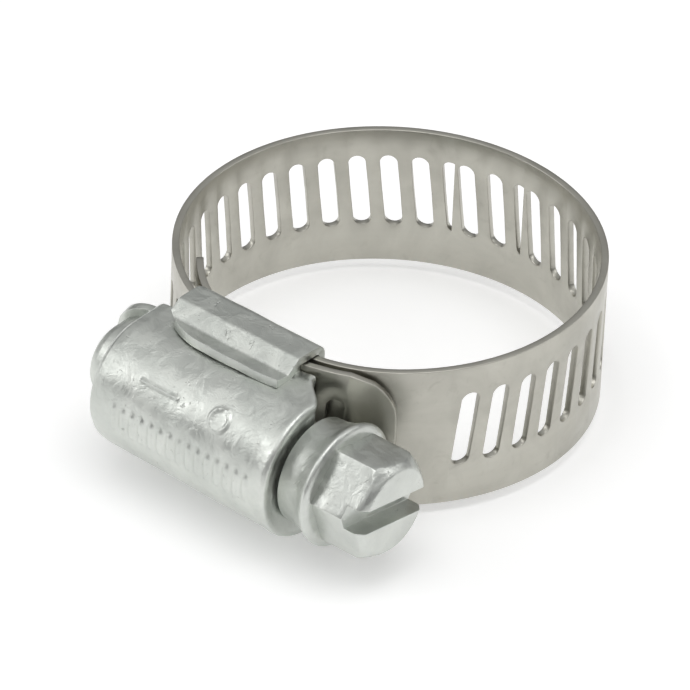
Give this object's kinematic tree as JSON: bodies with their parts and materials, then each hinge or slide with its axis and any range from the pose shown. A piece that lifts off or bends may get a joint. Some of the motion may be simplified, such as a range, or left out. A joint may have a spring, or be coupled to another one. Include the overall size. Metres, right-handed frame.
{
  "type": "hose clamp",
  "caption": "Worm-drive hose clamp: perforated stainless band drawn round a hose by a slotted hex-head worm screw in a zinc-plated housing.",
  "frame": {"origin": "centre of the loop at the band's mid-width, on the hose's axis", "axes": "+Z along the hose's axis; -Y from the loop's centre towards the housing; +X towards the screw's head, along the screw"},
  "size_m": [0.0348, 0.0435, 0.0144],
  "materials": {
    "zinc_housing": "bright zinc plate, satin, with crimp and die marks",
    "zinc_saddle": "bright zinc plate, satin, with burnished folds",
    "zinc_screw": "bright zinc plate, satin, cold-headed",
    "stainless_band": "rolled stainless strip, fine lengthwise brushing"
  },
  "bodies": {
    "clamp_base": {"housing": "zinc_housing", "saddle": "zinc_saddle", "band_fixed_end": "stainless_band"},
    "screw": {"screw": "zinc_screw"},
    "free_end": {"band_free_end": "stainless_band"},
    "tail_link_1": {"band_tail_link_1": "stainless_band"},
    "tail_link_2": {"band_tail_link_2": "stainless_band"},
    "tail": {"band_tail": "stainless_band"},
    "entry_link_1": {"band_entry_link_1": "stainless_band"},
    "entry_link_2": {"band_entry_link_2": "stainless_band"},
    "left_link_1": {"band_left_link_1": "stainless_band"},
    "left_link_2": {"band_left_link_2": "stainless_band"},
    "left_link_3": {"band_left_link_3": "stainless_band"},
    "left_link_4": {"band_left_link_4": "stainless_band"},
    "right_link_1": {"band_right_link_1": "stainless_band"},
    "right_link_2": {"band_right_link_2": "stainless_band"},
    "right_link_3": {"band_right_link_3": "stainless_band"},
    "right_link_4": {"band_right_link_4": "stainless_band"}
  },
  "joints": [
    {"name": "screw_turn", "type": "hinge", "parent": "clamp_base", "child": "screw", "pos_m": [0, -0.0202, 0], "axis": [-1, 0, 0], "range_deg": [0, 720.01]},
    {"name": "band_feed", "type": "slide", "parent": "clamp_base", "child": "free_end", "axis": [1, 0, 0], "range_m": [0, 0.00524]},
    {"name": "tail_link_1_bend", "type": "hinge", "parent": "free_end", "child": "tail_link_1", "pos_m": [-0.00011, -0.01653, 0], "axis": [0, 0, 1], "range_deg": [0, 16.42]},
    {"name": "tail_link_2_bend", "type": "hinge", "parent": "tail_link_1", "child": "tail_link_2", "pos_m": [0.00251, -0.01653, 0], "axis": [0, 0, 1], "range_deg": [0, 8.83]},
    {"name": "tail_bend", "type": "hinge", "parent": "tail_link_2", "child": "tail", "pos_m": [0.00513, -0.01713, 0], "axis": [0, 0, 1], "range_deg": [-7.59, 0]},
    {"name": "entry_link_1_bend", "type": "hinge", "parent": "free_end", "child": "entry_link_1", "pos_m": [-0.00278, -0.01713, 0], "axis": [0, 0, 1], "range_deg": [0, 13.62]},
    {"name": "entry_link_2_bend", "type": "hinge", "parent": "entry_link_1", "child": "entry_link_2", "pos_m": [-0.00537, -0.0165, 0], "axis": [0, 0, 1], "range_deg": [0, 8.81]},
    {"name": "left_link_1_bend", "type": "hinge", "parent": "entry_link_2", "child": "left_link_1", "pos_m": [-0.00756, -0.01495, 0], "axis": [0, 0, 1], "range_deg": [-7.9, 0]},
    {"name": "left_link_2_bend", "type": "hinge", "parent": "left_link_1", "child": "left_link_2", "pos_m": [-0.01479, -0.00785, 0], "axis": [0, 0, 1], "range_deg": [-1.99, 0]},
    {"name": "left_link_3_bend", "type": "hinge", "parent": "left_link_2", "child": "left_link_3", "pos_m": [-0.01662, 0.00212, 0], "axis": [0, 0, 1], "range_deg": [-1.99, 0]},
    {"name": "left_link_4_bend", "type": "hinge", "parent": "left_link_3", "child": "left_link_4", "pos_m": [-0.01235, 0.01131, 0], "axis": [0, 0, 1], "range_deg": [-1.99, 0]},
    {"name": "right_link_1_bend", "type": "hinge", "parent": "clamp_base", "child": "right_link_1", "pos_m": [0.01454, -0.00831, 0], "axis": [0, 0, 1], "range_deg": [0, 2.14]},
    {"name": "right_link_2_bend", "type": "hinge", "parent": "right_link_1", "child": "right_link_2", "pos_m": [0.01667, 0.00159, 0], "axis": [0, 0, 1], "range_deg": [0, 2.14]},
    {"name": "right_link_3_bend", "type": "hinge", "parent": "right_link_2", "child": "right_link_3", "pos_m": [0.0127, 0.01092, 0], "axis": [0, 0, 1], "range_deg": [0, 2.14]},
    {"name": "right_link_4_bend", "type": "hinge", "parent": "right_link_3", "child": "right_link_4", "pos_m": [0.00408, 0.01624, 0], "axis": [0, 0, 1], "range_deg": [0, 2.14]}
  ],
  "couplings": [
    {"joint": "screw_turn", "follows": "band_feed", "rad_per_m": 2398.2},
    {"joint": "tail_link_1_bend", "follows": "band_feed", "rad_per_m": 54.675},
    {"joint": "tail_link_2_bend", "follows": "band_feed", "rad_per_m": 29.412},
    {"joint": "tail_bend", "follows": "band_feed", "rad_per_m": -25.263},
    {"joint": "entry_link_1_bend", "follows": "band_feed", "rad_per_m": 45.353},
    {"joint": "entry_link_2_bend", "follows": "band_feed", "rad_per_m": 29.326},
    {"joint": "left_link_1_bend", "follows": "band_feed", "rad_per_m": -26.322},
    {"joint": "left_link_2_bend", "follows": "band_feed", "rad_per_m": -6.6403},
    {"joint": "left_link_3_bend", "follows": "band_feed", "rad_per_m": -6.6403},
    {"joint": "left_link_4_bend", "follows": "band_feed", "rad_per_m": -6.6403},
    {"joint": "right_link_1_bend", "follows": "band_feed", "rad_per_m": 7.109},
    {"joint": "right_link_2_bend", "follows": "band_feed", "rad_per_m": 7.109},
    {"joint": "right_link_3_bend", "follows": "band_feed", "rad_per_m": 7.109},
    {"joint": "right_link_4_bend", "follows": "band_feed", "rad_per_m": 7.109}
  ]
}
